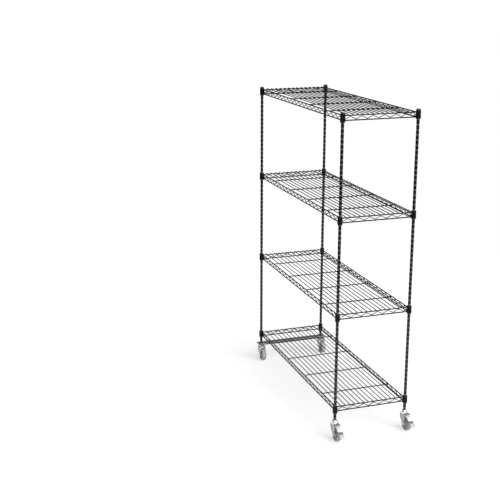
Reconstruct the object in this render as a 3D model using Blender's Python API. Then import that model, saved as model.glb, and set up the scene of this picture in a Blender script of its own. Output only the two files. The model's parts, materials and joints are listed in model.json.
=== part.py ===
"""Mobile wire shelving rack: four wire shelves with truss edges on four round posts.

The front posts stand on swivel casters with brake pedals. The rear posts stand on a steel channel
that ties them together, with a plain swivel caster under each end. X runs along the short side,
Y from front to back and Z up. The origin is on the floor, at the middle of the bounding box.
The posts are plain tubes here: their shallow grooves, one every GROOVE_PITCH, are left out.
"""

import math

import bmesh
import bpy
from mathutils import Matrix, Vector

# Driving dimensions, in metres.
GAP = 0.0003
CUT_MARGIN = 0.01
GROOVE_PITCH = 0.0254
POST_SPACING_X = 0.406
POST_SPACING_Y = 1.176
SHELF_COUNT = 4
SHELF_SPACING = 20 * GROOVE_PITCH
CASTER_HEIGHT = 0.107
FIRST_SHELF_ABOVE_POST = 0.060
POST_LENGTH = 1.605
POST_RADIUS = 0.00795
POST_WALL = 0.0012
POST_SIDES = 10

# Shelf, measured from the middle of its corner collars.
COLLAR_HEIGHT = 0.038
COLLAR_TOP_RADIUS = 0.0127
COLLAR_BOTTOM_RADIUS = 0.0134
SLEEVE_TOP = 0.0205
SLEEVE_FOOT = -0.0245
SLEEVE_TOP_RADIUS = 0.0098
SLEEVE_BOTTOM_RADIUS = 0.0112
FRAME_WIRE = 0.0064
FRAME_WIRE_TOP = 0.0098
FRAME_WIRE_BOTTOM = -0.0140
EDGE_INSET = 0.0055
PANEL_END = 0.0113
PANEL_THICKNESS = 0.0045
# Where the zigzag touches the bottom wire: one such spot, from the middle of the side, and the step.
ZIGZAG_LOW_SHORT, ZIGZAG_PITCH_SHORT = -0.0082, 0.0609
ZIGZAG_LOW_LONG, ZIGZAG_PITCH_LONG = -0.0143, 0.0558
ZIGZAG_FOOT = 0.0065
SUPPORT_WIRE = 0.0056
SUPPORT_COUNT = 4
SUPPORT_PITCH = 0.260
SUPPORT_SHIFT = -0.0145
DECK_WIRE = 0.0048
DECK_WIRE_COUNT = 14
DECK_PITCH = 0.0265
DECK_OVERHANG = 0.002

# Post cap.
CAP_PLUG_RADIUS = 0.0061
CAP_PLUG_DEPTH = 0.012
CAP_RADIUS = 0.0125
CAP_RIM = 0.0031
CAP_CROWN_RADIUS = 0.009
CAP_HEIGHT = 0.0062

# Channel under the rear posts, open downwards.
CHANNEL_OVERHANG = 0.0225
CHANNEL_WIDTH = 0.038
CHANNEL_DEPTH = 0.0122
CHANNEL_WALL = 0.0025
STEM_HOLE_RADIUS = 0.0069

# Caster, measured from the floor and from its swivel axis. It trails towards the front.
TRAIL = 0.030
WHEEL_RADIUS = 0.038
WHEEL_SIDES = 20
TYRE_INNER_RADIUS = 0.0295
TYRE_WIDTH = 0.025
TYRE_CORNER = 0.004
HUB_WIDTH = 0.029
HUB_RADIUS = 0.010
HUB_WEB = 0.010
HUB_BORE_RADIUS = 0.0045
RIM_WIDTH = 0.022
RIM_THICKNESS = 0.003
AXLE_RADIUS = 0.004
AXLE_HEAD_RADIUS = 0.0068
AXLE_HEAD = 0.0048
FORK_WIDTH = 0.036
FORK_PLATE = 0.0025
FORK_TOP = 0.0935
CROWN_PLATE = 0.0035
CROWN_BACK = 0.0155
CROWN_FRONT = -0.0245
LEG_SHOULDER_FRONT = -0.038
LEG_SHOULDER_Z = 0.062
LEG_END_RADIUS = 0.0105
FORK_HOLE_RADIUS = 0.0045
KINGPIN_RADIUS = 0.005
KINGPIN_HEAD_RADIUS = 0.0075
KINGPIN_HEAD = 0.0035
LOWER_RACE_RADIUS = 0.0145
LOWER_RACE_TOP = 0.0990
UPPER_RACE_RADIUS = 0.0160
UPPER_RACE_TOP = 0.1039
STEM_RADIUS = 0.0061
STEM_REACH = 0.045
SHOULDER_RADIUS = 0.0095

# Brake pedal, hinged on a pin through the fork legs. Its plate follows a bent line from the pin.
PEDAL_PIN_Y = -0.018
PEDAL_PIN_Z = 0.0840
PEDAL_PIN_RADIUS = 0.0022
PEDAL_PIN_OVERHANG = 0.0012
PEDAL_WIDTH = 0.026
PEDAL_PLATE = 0.0026
PEDAL_HOOK_RADIUS = 0.0040
PEDAL_KNEES = ((-0.034, -0.0045), (-0.0605, -0.0125), (-0.0685, -0.0245), (-0.0927, -0.0310))
PEDAL_LIP = 0.0075

POST_BOTTOM = CASTER_HEIGHT
POST_TOP = POST_BOTTOM + POST_LENGTH
WHEEL_CENTRE = Vector((0, -TRAIL, WHEEL_RADIUS))
DECK_PLANE = FRAME_WIRE_TOP + FRAME_WIRE / 2
# The pedals reach further forwards than the channel reaches backwards.
PEDAL_REACH = PEDAL_PLATE / 2 - PEDAL_KNEES[-1][0] - PEDAL_PIN_Y
RACK_CENTRE_Y = (PEDAL_REACH - CHANNEL_WIDTH / 2) / 2
CORNERS = {
    "front_left": (-1, -1),
    "front_right": (1, -1),
    "rear_left": (-1, 1),
    "rear_right": (1, 1),
}


def corner_position(corner):
    side_x, side_y = CORNERS[corner]
    x = side_x * POST_SPACING_X / 2
    y = side_y * POST_SPACING_Y / 2 + RACK_CENTRE_Y
    return Vector((x, y, 0))


def clear_scene():
    for obj in list(bpy.data.objects):
        bpy.data.objects.remove(obj, do_unlink=True)


def make_material(name, colour, roughness, metallic):
    material = bpy.data.materials.new(name)
    material.use_nodes = True
    shader = material.node_tree.nodes["Principled BSDF"]
    shader.inputs["Base Color"].default_value = (*colour, 1)
    shader.inputs["Roughness"].default_value = roughness
    shader.inputs["Metallic"].default_value = metallic
    material.diffuse_color = (*colour, 1)
    return material


def finish_mesh(name, bm, smooth_angle=35):
    """A mesh from bm with its faces pointing out, smooth except at real edges."""
    bmesh.ops.recalc_face_normals(bm, faces=bm.faces[:])
    mesh = bpy.data.meshes.new(name)
    bm.to_mesh(mesh)
    bm.free()
    mesh.shade_smooth()
    mesh.set_sharp_from_angle(angle=math.radians(smooth_angle))
    return mesh


def place(name, mesh, material, location=(0, 0, 0), parent=None):
    """A new object on a mesh that it may share, coloured by its own material slot."""
    obj = bpy.data.objects.new(name, mesh)
    bpy.context.scene.collection.objects.link(obj)
    if not mesh.materials:
        mesh.materials.append(material)
    obj.location = location
    obj.parent = parent
    return obj


def place_empty(name, location, parent=None):
    empty = bpy.data.objects.new(name, None)
    bpy.context.scene.collection.objects.link(empty)
    empty.empty_display_size = 0.03
    empty.location = location
    empty.parent = parent
    return empty


def lathe(profile, sides, closed=False, turned_sides=None):
    """Turns (radius, height) points about Z. A closed profile makes a ring, and fewer
    turned_sides than sides leave a slot in it. Points at radius 0 close the two ends."""
    bm = bmesh.new()
    turned = turned_sides or sides
    ring_count = sides if turned == sides else turned + 1
    rings = []
    for radius, height in profile:
        if radius == 0:
            rings.append([bm.verts.new((0, 0, height))] * ring_count)
            continue
        angles = [2 * math.pi * (step + 0.5) / sides for step in range(ring_count)]
        rings.append([bm.verts.new((radius * math.cos(a), radius * math.sin(a), height)) for a in angles])
    pairs = list(zip(rings, rings[1:]))
    if closed:
        pairs.append((rings[-1], rings[0]))
    for lower, upper in pairs:
        for step in range(turned):
            after = (step + 1) % ring_count
            corners = (lower[step], lower[after], upper[after], upper[step])
            bm.faces.new(list(dict.fromkeys(corners)))
    if turned != sides:
        bm.faces.new([ring[0] for ring in rings])
        bm.faces.new([ring[-1] for ring in rings])
    return bm


def cylinder(radius, start, end, sides=8):
    return lathe([(0, start), (radius, start), (radius, end), (0, end)], sides)


def along_x(bm):
    """Turns a piece made about Z so that its axis lies along X."""
    bmesh.ops.transform(bm, matrix=Matrix.Rotation(math.pi / 2, 4, "Y"), verts=bm.verts[:])
    return bm


def box(centre, size):
    bm = bmesh.new()
    matrix = Matrix.Translation(centre) @ Matrix.Diagonal((*size, 1))
    bmesh.ops.create_cube(bm, size=1, matrix=matrix)
    return bm


def prism_x(outline, x_from, x_to):
    """Extrudes an outline of (y, z) points along X."""
    bm = bmesh.new()
    face = bm.faces.new([bm.verts.new((x_from, y, z)) for y, z in outline])
    grown = bmesh.ops.extrude_face_region(bm, geom=[face])
    moved = [item for item in grown["geom"] if isinstance(item, bmesh.types.BMVert)]
    bmesh.ops.translate(bm, vec=(x_to - x_from, 0, 0), verts=moved)
    return bm


def arc(centre, radius, start, end, steps):
    """Points (y, z) on an arc, from start to end degrees."""
    angles = [math.radians(start + (end - start) * step / steps) for step in range(steps + 1)]
    return [(centre[0] + radius * math.cos(a), centre[1] + radius * math.sin(a)) for a in angles]


def thickened(line, thickness):
    """An outline of (y, z) points round a bent line, with mitred corners."""
    points = [Vector(spot) for spot in line]
    steps = [(after - before).normalized() for before, after in zip(points, points[1:])]
    left, right = [], []
    for spot, arriving, leaving in zip(points, [steps[0], *steps], [*steps, steps[-1]]):
        along = (arriving + leaving).normalized()
        side = Vector((-along.y, along.x)) * thickness / 2 / along.dot(arriving)
        left.append(tuple(spot + side))
        right.append(tuple(spot - side))
    return left + right[::-1]


def combine(name, base, others, operation="UNION"):
    """One mesh from base and the other bmeshes, joined to it or cut from it."""
    helpers = bpy.data.collections.new(name + "_helpers")
    bpy.context.scene.collection.children.link(helpers)
    for index, bm in enumerate(others):
        helper = bpy.data.objects.new(f"{name}_helper_{index}", finish_mesh(name, bm))
        helpers.objects.link(helper)
    target = place(name + "_base", finish_mesh(name, base), None)
    modifier = target.modifiers.new("Combine", "BOOLEAN")
    modifier.operation = operation
    modifier.operand_type = "COLLECTION"
    modifier.solver = "EXACT"
    modifier.collection = helpers
    bpy.context.view_layer.update()
    graph = bpy.context.evaluated_depsgraph_get()
    mesh = bpy.data.meshes.new_from_object(target.evaluated_get(graph))
    for helper in [target, *helpers.objects]:
        bpy.data.objects.remove(helper, do_unlink=True)
    bpy.data.collections.remove(helpers)
    bm = bmesh.new()
    bm.from_mesh(mesh)
    bmesh.ops.dissolve_limit(bm, angle_limit=0.001, verts=bm.verts[:], edges=bm.edges[:])
    mesh.materials.clear()
    return finish_mesh(name, bm)


def zigzag_bends(half, low, pitch):
    """Where a zigzag turns between -half and half: (x, is_low) from one end to the other."""
    first = math.ceil((-half - low) / pitch * 2)
    last = math.floor((half - low) / pitch * 2)
    return [(low + index * pitch / 2, index % 2 == 0) for index in range(first, last + 1)]


def truss_panel(length, low, pitch):
    """A shelf edge along X: top and bottom wires with a zigzag between them, as one flat solid."""
    bm = bmesh.new()
    points = {}

    def point(x, z):
        key = (round(x, 6), round(z, 6))
        if key not in points:
            points[key] = bm.verts.new((x, -PANEL_THICKNESS / 2, z))
        return points[key]

    half = length / 2
    inner = {True: FRAME_WIRE_BOTTOM + FRAME_WIRE / 2, False: FRAME_WIRE_TOP - FRAME_WIRE / 2}
    outer = {True: FRAME_WIRE_BOTTOM - FRAME_WIRE / 2, False: FRAME_WIRE_TOP + FRAME_WIRE / 2}
    bends = zigzag_bends(half, low, pitch)
    struts = [
        ((x, is_low, ZIGZAG_FOOT), (after, not is_low, -ZIGZAG_FOOT))
        for (x, is_low), (after, _) in zip(bends, bends[1:])
    ]
    feet = {True: set(), False: set()}
    for ends in struts:
        for x, is_low, foot in ends:
            feet[is_low] |= {round(x, 6), round(x + foot, 6)}
        (start, is_low, foot), (end, _, back) = ends
        corners = ((start, inner[is_low]), (start + foot, inner[is_low]))
        corners += ((end, inner[not is_low]), (end + back, inner[not is_low]))
        bm.faces.new([point(x, z) for x, z in corners])
    # The last strut runs into the collar part of the way up.
    start, is_low = bends[-1]
    if half - start > 2 * ZIGZAG_FOOT:
        rise = (inner[not is_low] - inner[is_low]) / (pitch / 2 - ZIGZAG_FOOT)
        far, near = start + ZIGZAG_FOOT, start
        feet[is_low] |= {round(near, 6), round(far, 6)}
        cut = ((half, inner[is_low] + (half - far) * rise), (half, inner[is_low] + (half - near) * rise))
        bm.faces.new([point(x, z) for x, z in ((near, inner[is_low]), (far, inner[is_low]), *cut)])
    for is_low, spots in feet.items():
        edge = [point(-half, outer[is_low]), point(-half, inner[is_low])]
        edge += [point(x, inner[is_low]) for x in sorted(spots)]
        bm.faces.new(edge + [point(half, inner[is_low]), point(half, outer[is_low])])
    bmesh.ops.recalc_face_normals(bm, faces=bm.faces[:])
    grown = bmesh.ops.extrude_face_region(bm, geom=bm.faces[:])
    moved = [item for item in grown["geom"] if isinstance(item, bmesh.types.BMVert)]
    bmesh.ops.translate(bm, vec=(0, PANEL_THICKNESS, 0), verts=moved)
    return bm


def collar_profile():
    half = COLLAR_HEIGHT / 2
    slope = (SLEEVE_BOTTOM_RADIUS - SLEEVE_TOP_RADIUS) / (SLEEVE_TOP - SLEEVE_FOOT)
    bore_top = SLEEVE_TOP_RADIUS + GAP + slope * (SLEEVE_TOP - half)
    bore_bottom = bore_top + slope * COLLAR_HEIGHT
    outside = [(COLLAR_BOTTOM_RADIUS, -half), (COLLAR_TOP_RADIUS, half)]
    return outside + [(bore_top, half), (bore_bottom, -half)]


def shelf_solids():
    """The pieces that are welded into one shelf, round the middle of its collars."""
    short_side = POST_SPACING_X - 2 * PANEL_END
    long_side = POST_SPACING_Y - 2 * PANEL_END
    half_x, half_y = POST_SPACING_X / 2, POST_SPACING_Y / 2
    edge_x, edge_y = half_x - EDGE_INSET, half_y - EDGE_INSET
    for side in (-1, 1):
        bm = truss_panel(short_side, ZIGZAG_LOW_SHORT, ZIGZAG_PITCH_SHORT)
        bmesh.ops.translate(bm, vec=(0, side * edge_y, 0), verts=bm.verts[:])
        yield bm
        bm = truss_panel(long_side, ZIGZAG_LOW_LONG, ZIGZAG_PITCH_LONG)
        bmesh.ops.transform(bm, matrix=Matrix.Rotation(math.pi / 2, 4, "Z"), verts=bm.verts[:])
        bmesh.ops.translate(bm, vec=(side * edge_x, 0, 0), verts=bm.verts[:])
        yield bm
    for side_x, side_y in CORNERS.values():
        bm = lathe(collar_profile(), POST_SIDES, closed=True)
        bmesh.ops.translate(bm, vec=(side_x * half_x, side_y * half_y, 0), verts=bm.verts[:])
        yield bm
    support_z = DECK_PLANE - SUPPORT_WIRE / 2
    for index in range(SUPPORT_COUNT):
        y = SUPPORT_SHIFT + SUPPORT_PITCH * (index - (SUPPORT_COUNT - 1) / 2)
        yield box((0, y, support_z), (2 * edge_x, SUPPORT_WIRE, SUPPORT_WIRE))
    for index in range(DECK_WIRE_COUNT):
        x = DECK_PITCH * (index - (DECK_WIRE_COUNT - 1) / 2)
        length = 2 * (edge_y + DECK_OVERHANG)
        yield box((x, 0, DECK_PLANE + DECK_WIRE / 2), (DECK_WIRE, length, DECK_WIRE))


def make_posts(steel, plastic):
    inner = POST_RADIUS - POST_WALL
    profile = [(POST_RADIUS, 0), (POST_RADIUS, POST_LENGTH), (inner, POST_LENGTH), (inner, 0)]
    post = finish_mesh("post", lathe(profile, POST_SIDES, closed=True))
    cap_profile = [
        (0, -CAP_PLUG_DEPTH),
        (CAP_PLUG_RADIUS, -CAP_PLUG_DEPTH),
        (CAP_PLUG_RADIUS, 0),
        (CAP_RADIUS, 0),
        (CAP_RADIUS, CAP_RIM),
        (CAP_CROWN_RADIUS, CAP_HEIGHT),
        (0, CAP_HEIGHT),
    ]
    cap = finish_mesh("post_cap", lathe(cap_profile, POST_SIDES), 50)
    for corner in CORNERS:
        foot = corner_position(corner)
        place(f"post_{corner}", post, steel, foot + Vector((0, 0, POST_BOTTOM)))
        place(f"post_cap_{corner}", cap, plastic, foot + Vector((0, 0, POST_TOP + GAP)))


def make_shelves(wire, plastic):
    base, *others = shelf_solids()
    shelf = combine("shelf", base, others)
    bore = POST_RADIUS + GAP
    sleeve_profile = [(SLEEVE_BOTTOM_RADIUS, SLEEVE_FOOT), (SLEEVE_TOP_RADIUS, SLEEVE_TOP)]
    sleeve_profile += [(bore, SLEEVE_TOP), (bore, SLEEVE_FOOT)]
    # One side is left out of the ring: the slot where the sleeve snaps open round the post.
    bm = lathe(sleeve_profile, POST_SIDES, closed=True, turned_sides=POST_SIDES - 1)
    sleeve = finish_mesh("sleeve", bm)
    for level in range(1, SHELF_COUNT + 1):
        height = POST_BOTTOM + FIRST_SHELF_ABOVE_POST + (level - 1) * SHELF_SPACING
        middle = place_empty(f"shelf_{level}_height", (0, RACK_CENTRE_Y, height))
        place(f"shelf_{level}", shelf, wire, parent=middle)
        for corner, (side_x, side_y) in CORNERS.items():
            spot = (side_x * POST_SPACING_X / 2, side_y * POST_SPACING_Y / 2, 0)
            place(f"sleeve_{level}_{corner}", sleeve, plastic, spot, middle)


def make_channel(zinc):
    top = POST_BOTTOM - GAP
    half = CHANNEL_WIDTH / 2
    inner = half - CHANNEL_WALL
    outline = [(-half, top), (half, top), (half, top - CHANNEL_DEPTH), (inner, top - CHANNEL_DEPTH)]
    outline += [(inner, top - CHANNEL_WALL), (-inner, top - CHANNEL_WALL)]
    outline += [(-inner, top - CHANNEL_DEPTH), (-half, top - CHANNEL_DEPTH)]
    reach = POST_SPACING_X / 2 + CHANNEL_OVERHANG
    cutters = []
    for side in (-1, 1):
        hole = cylinder(STEM_HOLE_RADIUS, top - CUT_MARGIN, top + CUT_MARGIN, POST_SIDES)
        bmesh.ops.translate(hole, vec=(side * POST_SPACING_X / 2, 0, 0), verts=hole.verts[:])
        cutters.append(hole)
    mesh = combine("rear_channel", prism_x(outline, -reach, reach), cutters, "DIFFERENCE")
    place("rear_channel", mesh, zinc, (0, POST_SPACING_Y / 2 + RACK_CENTRE_Y, 0))


def stem_mesh(name, shoulder):
    """The kingpin and post stem in one, with the upper race. It stays still as the fork turns."""
    crown_bottom = FORK_TOP - CROWN_PLATE
    profile = [
        (0, crown_bottom - KINGPIN_HEAD),
        (KINGPIN_HEAD_RADIUS, crown_bottom - KINGPIN_HEAD),
        (KINGPIN_HEAD_RADIUS, crown_bottom - GAP),
        (KINGPIN_RADIUS, crown_bottom - GAP),
        (KINGPIN_RADIUS, LOWER_RACE_TOP + GAP),
        (UPPER_RACE_RADIUS, LOWER_RACE_TOP + GAP),
        (UPPER_RACE_RADIUS, UPPER_RACE_TOP),
    ]
    if shoulder:
        profile += [(SHOULDER_RADIUS, UPPER_RACE_TOP), (SHOULDER_RADIUS, POST_BOTTOM - GAP)]
        profile += [(STEM_RADIUS, POST_BOTTOM - GAP)]
    else:
        profile += [(STEM_RADIUS, UPPER_RACE_TOP)]
    profile += [(STEM_RADIUS, POST_BOTTOM + STEM_REACH), (0, POST_BOTTOM + STEM_REACH)]
    return finish_mesh(name, lathe(profile, POST_SIDES))


def fork_holes(has_pedal):
    """What is cut from a fork: the bores for its kingpin, its axle and its pedal pin."""
    low, high = FORK_TOP - CROWN_PLATE - CUT_MARGIN, LOWER_RACE_TOP + CUT_MARGIN
    yield cylinder(KINGPIN_RADIUS + GAP, low, high, POST_SIDES)
    reach = FORK_WIDTH / 2 + CUT_MARGIN
    hole = along_x(cylinder(FORK_HOLE_RADIUS, -reach, reach))
    bmesh.ops.translate(hole, vec=WHEEL_CENTRE, verts=hole.verts[:])
    yield hole
    if has_pedal:
        hole = along_x(cylinder(PEDAL_PIN_RADIUS + GAP, -reach, reach))
        bmesh.ops.translate(hole, vec=(0, PEDAL_PIN_Y, PEDAL_PIN_Z), verts=hole.verts[:])
        yield hole


def fork_mesh(name, has_pedal):
    """Crown, lower race and two legs in one pressing, round the swivel axis."""
    leg = [(CROWN_BACK, FORK_TOP), (CROWN_BACK, LEG_SHOULDER_Z)]
    leg += arc(WHEEL_CENTRE.yz, LEG_END_RADIUS, 320, 180, 5)
    leg += [(LEG_SHOULDER_FRONT, LEG_SHOULDER_Z), (CROWN_FRONT, FORK_TOP)]
    outer, inner = FORK_WIDTH / 2, FORK_WIDTH / 2 - FORK_PLATE
    legs = [prism_x(leg, side * inner, side * outer) for side in (-1, 1)]
    middle = FORK_TOP - CROWN_PLATE / 2
    size = (2 * inner + FORK_PLATE, CROWN_BACK - CROWN_FRONT, CROWN_PLATE)
    crown = box((0, (CROWN_BACK + CROWN_FRONT) / 2, middle), size)
    race = cylinder(LOWER_RACE_RADIUS, middle, LOWER_RACE_TOP, POST_SIDES)
    bm = bmesh.new()
    bm.from_mesh(combine(name, crown, [*legs, race]))
    return combine(name, bm, list(fork_holes(has_pedal)), "DIFFERENCE")


def hub_mesh():
    half, web, rim = HUB_WIDTH / 2, HUB_WEB / 2, RIM_WIDTH / 2
    rim_outer = TYRE_INNER_RADIUS - GAP
    rim_inner = rim_outer - RIM_THICKNESS
    one_side = [(HUB_BORE_RADIUS, half), (HUB_RADIUS, half), (HUB_RADIUS, web)]
    one_side += [(rim_inner, web), (rim_inner, rim), (rim_outer, rim)]
    other_side = [(radius, -height) for radius, height in reversed(one_side)]
    return finish_mesh("wheel_hub", along_x(lathe(one_side + other_side, WHEEL_SIDES, closed=True)))


def tyre_mesh():
    """The tread's facets touch the round wheel from outside, so it stands on one at full height."""
    half = TYRE_WIDTH / 2
    tread = WHEEL_RADIUS / math.cos(math.pi / WHEEL_SIDES)
    profile = [(TYRE_INNER_RADIUS, half), (tread - TYRE_CORNER, half)]
    profile += [(tread, half - TYRE_CORNER), (tread, TYRE_CORNER - half)]
    profile += [(tread - TYRE_CORNER, -half), (TYRE_INNER_RADIUS, -half)]
    return finish_mesh("tyre", along_x(lathe(profile, WHEEL_SIDES, closed=True)))


def bolt_mesh():
    """Axle bolt with its head on the left of the fork."""
    head_start = FORK_WIDTH / 2 + GAP
    end = FORK_WIDTH / 2 + AXLE_HEAD + GAP
    profile = [(0, -end), (AXLE_HEAD_RADIUS, -end), (AXLE_HEAD_RADIUS, -head_start)]
    profile += [(AXLE_RADIUS, -head_start), (AXLE_RADIUS, end), (0, end)]
    return finish_mesh("axle_bolt", along_x(lathe(profile, 6)))


def nut_mesh():
    start, end = FORK_WIDTH / 2 + GAP, FORK_WIDTH / 2 + AXLE_HEAD
    bore = AXLE_RADIUS + GAP
    profile = [(bore, start), (AXLE_HEAD_RADIUS, start), (AXLE_HEAD_RADIUS, end), (bore, end)]
    return finish_mesh("axle_nut", along_x(lathe(profile, 6, closed=True)))


def pedal_mesh():
    """A stepped plate that hooks over its pin from above and falls forwards to a lipped toe pad."""
    toe_y, toe_z = PEDAL_KNEES[-1]
    line = arc((0, 0), PEDAL_HOOK_RADIUS, -20, 104, 4) + [*PEDAL_KNEES, (toe_y, toe_z - PEDAL_LIP)]
    outline = thickened(line, PEDAL_PLATE)
    return finish_mesh("brake_pedal", prism_x(outline, -PEDAL_WIDTH / 2, PEDAL_WIDTH / 2))


def pin_mesh():
    half = FORK_WIDTH / 2 + PEDAL_PIN_OVERHANG
    return finish_mesh("pedal_pin", along_x(cylinder(PEDAL_PIN_RADIUS, -half, half)))


def make_casters(zinc, tyre_rubber, core_plastic, pedal_steel):
    stems = {1: stem_mesh("stem_plain", False), -1: stem_mesh("stem_shouldered", True)}
    forks = {1: fork_mesh("fork_plain", False), -1: fork_mesh("fork_braked", True)}
    hub, tyre, bolt, nut = hub_mesh(), tyre_mesh(), bolt_mesh(), nut_mesh()
    pedal, pin = pedal_mesh(), pin_mesh()
    for corner, (_, side_y) in CORNERS.items():
        swivel = place_empty(f"{corner}_swivel", corner_position(corner))
        place(f"{corner}_caster_stem", stems[side_y], zinc, parent=swivel)
        place(f"{corner}_fork", forks[side_y], zinc, parent=swivel)
        axle = place_empty(f"{corner}_axle", WHEEL_CENTRE, swivel)
        place(f"{corner}_wheel_hub", hub, core_plastic, parent=axle)
        place(f"{corner}_tyre", tyre, tyre_rubber, parent=axle)
        place(f"{corner}_axle_bolt", bolt, zinc, parent=axle)
        place(f"{corner}_axle_nut", nut, zinc, parent=axle)
        if side_y < 0:
            hinge = place_empty(f"{corner}_pedal_hinge", (0, PEDAL_PIN_Y, PEDAL_PIN_Z), swivel)
            place(f"{corner}_brake_pedal", pedal, pedal_steel, parent=hinge)
            place(f"{corner}_pedal_pin", pin, zinc, parent=hinge)


def main():
    clear_scene()
    post_steel = make_material("post_black", (0.012, 0.012, 0.013), 0.35, 0.0)
    shelf_wire = make_material("wire_black", (0.03, 0.03, 0.032), 0.4, 0.0)
    black_plastic = make_material("fitting_black", (0.01, 0.01, 0.011), 0.5, 0.0)
    zinc = make_material("zinc_plate", (0.62, 0.63, 0.64), 0.35, 0.9)
    tyre_rubber = make_material("tyre_grey", (0.22, 0.22, 0.23), 0.7, 0.0)
    core_plastic = make_material("wheel_core_grey", (0.42, 0.42, 0.43), 0.5, 0.0)
    pedal_steel = make_material("pedal_light", (0.8, 0.8, 0.8), 0.4, 0.2)
    make_posts(post_steel, black_plastic)
    make_shelves(shelf_wire, black_plastic)
    make_channel(zinc)
    make_casters(zinc, tyre_rubber, core_plastic, pedal_steel)


main()
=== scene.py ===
"""Finished look of the mobile wire shelving rack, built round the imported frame.

Round welded wires, grooved posts, split sleeves and pressed-steel casters stand in for the plain
solids of the frame, each on the body that its solid belongs to. Lengths are in metres, except
GROOVE_SHAPE, CAP_PLUG and the outlines that go through millimetres(). Angles are in degrees.
"""

import json
import math

import bmesh
import bpy
from mathutils import Matrix, Vector


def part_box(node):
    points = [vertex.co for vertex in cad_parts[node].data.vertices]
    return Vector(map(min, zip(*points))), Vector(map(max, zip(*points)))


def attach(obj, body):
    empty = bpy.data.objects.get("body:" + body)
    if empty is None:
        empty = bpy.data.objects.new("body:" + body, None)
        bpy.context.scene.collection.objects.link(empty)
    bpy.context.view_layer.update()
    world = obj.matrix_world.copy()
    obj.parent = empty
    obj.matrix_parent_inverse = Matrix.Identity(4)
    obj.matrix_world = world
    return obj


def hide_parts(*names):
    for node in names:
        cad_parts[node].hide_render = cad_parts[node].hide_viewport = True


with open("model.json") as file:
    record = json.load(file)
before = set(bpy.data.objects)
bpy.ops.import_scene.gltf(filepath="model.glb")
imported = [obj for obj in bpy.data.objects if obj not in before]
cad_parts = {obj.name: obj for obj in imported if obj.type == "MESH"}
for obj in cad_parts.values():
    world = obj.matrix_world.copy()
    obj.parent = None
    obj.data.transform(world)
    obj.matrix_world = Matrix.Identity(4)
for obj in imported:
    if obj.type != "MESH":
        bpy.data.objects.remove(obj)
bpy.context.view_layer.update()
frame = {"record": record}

RECORD = frame["record"]
BODY_OF = {node: body for body, nodes in RECORD["behaviour"]["bodies"].items() for node in nodes}
CORNERS = ("front_left", "front_right", "rear_left", "rear_right")
FRONT_CORNERS = CORNERS[:2]
SHELF_LEVELS = (1, 2, 3, 4)
MM = 0.001
SHARP_ANGLE = 40

# Camera and light. The floor's own colour is a mid grey and about half of its brightness is emission.
# That keeps it white under a light that leaves the thin wires dark.
CAMERA_PLACE = (-2.094, -4.787, 2.340)
CAMERA_TURN = 18.515
CAMERA_DROP = 15.79
LENS = 69.43
FLOOR_RADIUS = 3.2
FLOOR_GREY = 0.37
FLOOR_GLOW = 0.54
SEEN_WHITE = 1.01
DOME_BELOW, DOME_ABOVE = 0.10, 0.40
DOME_FADE_FROM, DOME_FADE_TO = -0.02, 0.22
KEY_FROM = (2.0, -4.4, 4.6)
KEY_STRENGTH = 5.3
KEY_SPREAD = 58

# Posts and caps.
GROOVE_PITCH = 0.0254
POST_RADIUS = 0.00795
POST_WALL = 0.0012
GROOVE_SHAPE = ((-2.7, 0.0), (-2.1, 0.12), (-1.3, 0.75), (0.0, 1.0), (1.3, 0.75), (2.1, 0.12), (2.7, 0.0))
SLEEVE_BEAD_ABOVE_POST_FOOT = 0.060
CAP_PLUG = 12.0
SLEEVE_FOOT = -0.0245

# Shelf, measured from the middle of its collars.
COLLAR_HALF_HEIGHT = 0.019
FRAME_WIRE = 0.0064
FRAME_WIRE_TOP = 0.0098
FRAME_WIRE_BOTTOM = -0.0140
EDGE_INSET = 0.0055
WIRE_END_INSET = 0.0108
ZIGZAG_WIRE = 0.0038
ZIGZAG_BEND = 0.0085
ZIGZAG_LOW_SHORT, ZIGZAG_PITCH_SHORT = -0.0082, 0.0609
ZIGZAG_LOW_LONG, ZIGZAG_PITCH_LONG = -0.0143, 0.0558
WELD_SINK = 0.0005
SUPPORT_WIRE = 0.0056
SUPPORT_COUNT = 4
SUPPORT_PITCH = 0.260
SUPPORT_SHIFT = -0.0145
DECK_WIRE = 0.0048
DECK_WIRE_COUNT = 14
DECK_PITCH = 0.0265
DECK_OVERHANG = 0.0014
DECK_PLANE = FRAME_WIRE_TOP + FRAME_WIRE / 2
WELD_WIDTH, WELD_LENGTH, WELD_HEIGHT = 0.0027, 0.0028, 0.0015
WELD_LIFT = 0.0002

# Channel.
CHANNEL_SHEET = 0.0025
CHANNEL_FOLD = 0.0028
CHANNEL_END_ROUND = 0.004

# Caster, measured from the floor and from its swivel axis.
WHEEL_RADIUS = 0.038
AXLE_TRAIL = 0.030
AXLE_LOBE = 0.0105
FORK_PLATE = 0.0025
FORK_HALF_WIDTH = 0.018
FORK_TOP = 0.0935
FORK_FOLD = 0.0055
FORK_HEEL = 0.0312
BALL_COUNT = 20
BALL_HEIGHT, BALL_RING, BALL_RADIUS = 0.0991, 0.0122, 0.00155
UPPER_RACE_RADIUS, UPPER_RACE_FOOT, RACE_LIP = 0.0148, 0.1004, 0.0011
FRONT_RACE_TOP, REAR_RACE_TOP = 0.1030, 0.1039
STEM_SEAT = 0.1067
RIB_COUNT = 6
RIB_LENGTH, RIB_THICKNESS, RIB_DEPTH = 0.0164, 0.0024, 0.0042
RIB_MIDDLE, RIB_OFFSET = 0.0179, 0.0065
BOLT_RADIUS, THREAD_ROOT, THREAD_PITCH = 0.0039, 0.0035, 0.0008
BOLT_ACROSS, NUT_ACROSS, NUT_BORE = 0.0113, 0.0116, 0.0042
PEDAL_PIN_TRAIL, PEDAL_PIN_HEIGHT = 0.018, 0.084

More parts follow.
